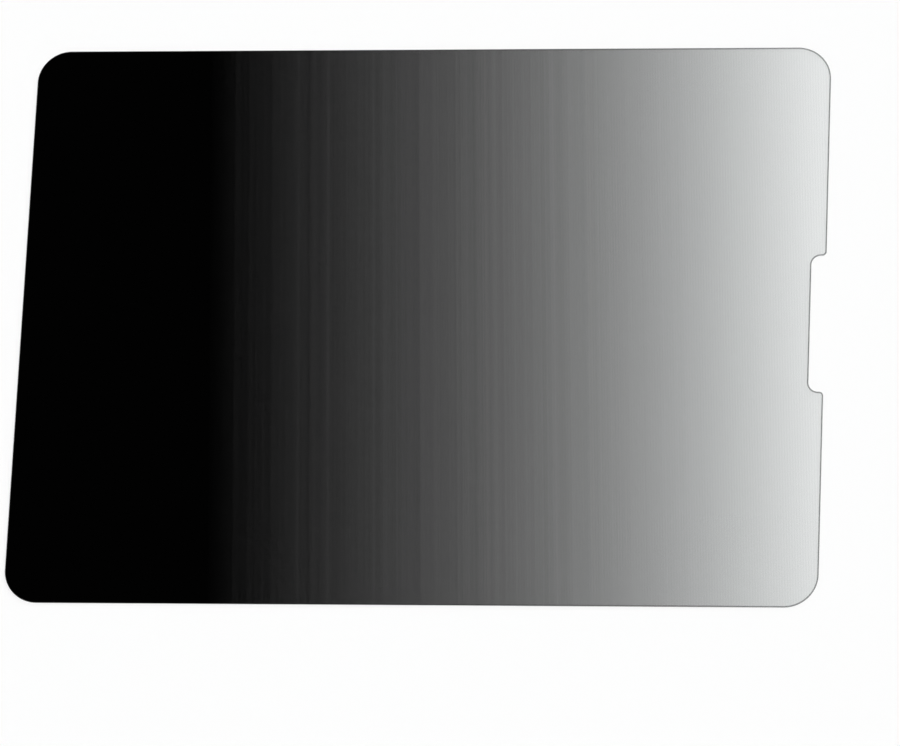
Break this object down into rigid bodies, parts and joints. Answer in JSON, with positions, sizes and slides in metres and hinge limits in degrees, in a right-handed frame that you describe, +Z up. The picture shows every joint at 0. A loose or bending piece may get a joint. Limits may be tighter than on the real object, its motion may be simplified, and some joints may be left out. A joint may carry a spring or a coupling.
{
  "type": "tablet privacy filter",
  "caption": "Thin flat sheet of dark louvre film with rounded corners that lies over a tablet screen to hide it from side views, with a rounded camera notch in a short edge.",
  "frame": {"origin": "centre of the underside, the face that lies on the screen", "axes": "+X along the long side towards the short edge with the camera notch, +Y along the short side, +Z up out of the front face"},
  "size_m": [0.245, 0.177, 0.0005],
  "materials": {
    "louvre_film": "satin film, black at the plain end and fading to nearly clear at the notched end"
  },
  "bodies": {
    "root": {"filter_sheet": "louvre_film"}
  },
  "joints": []
}
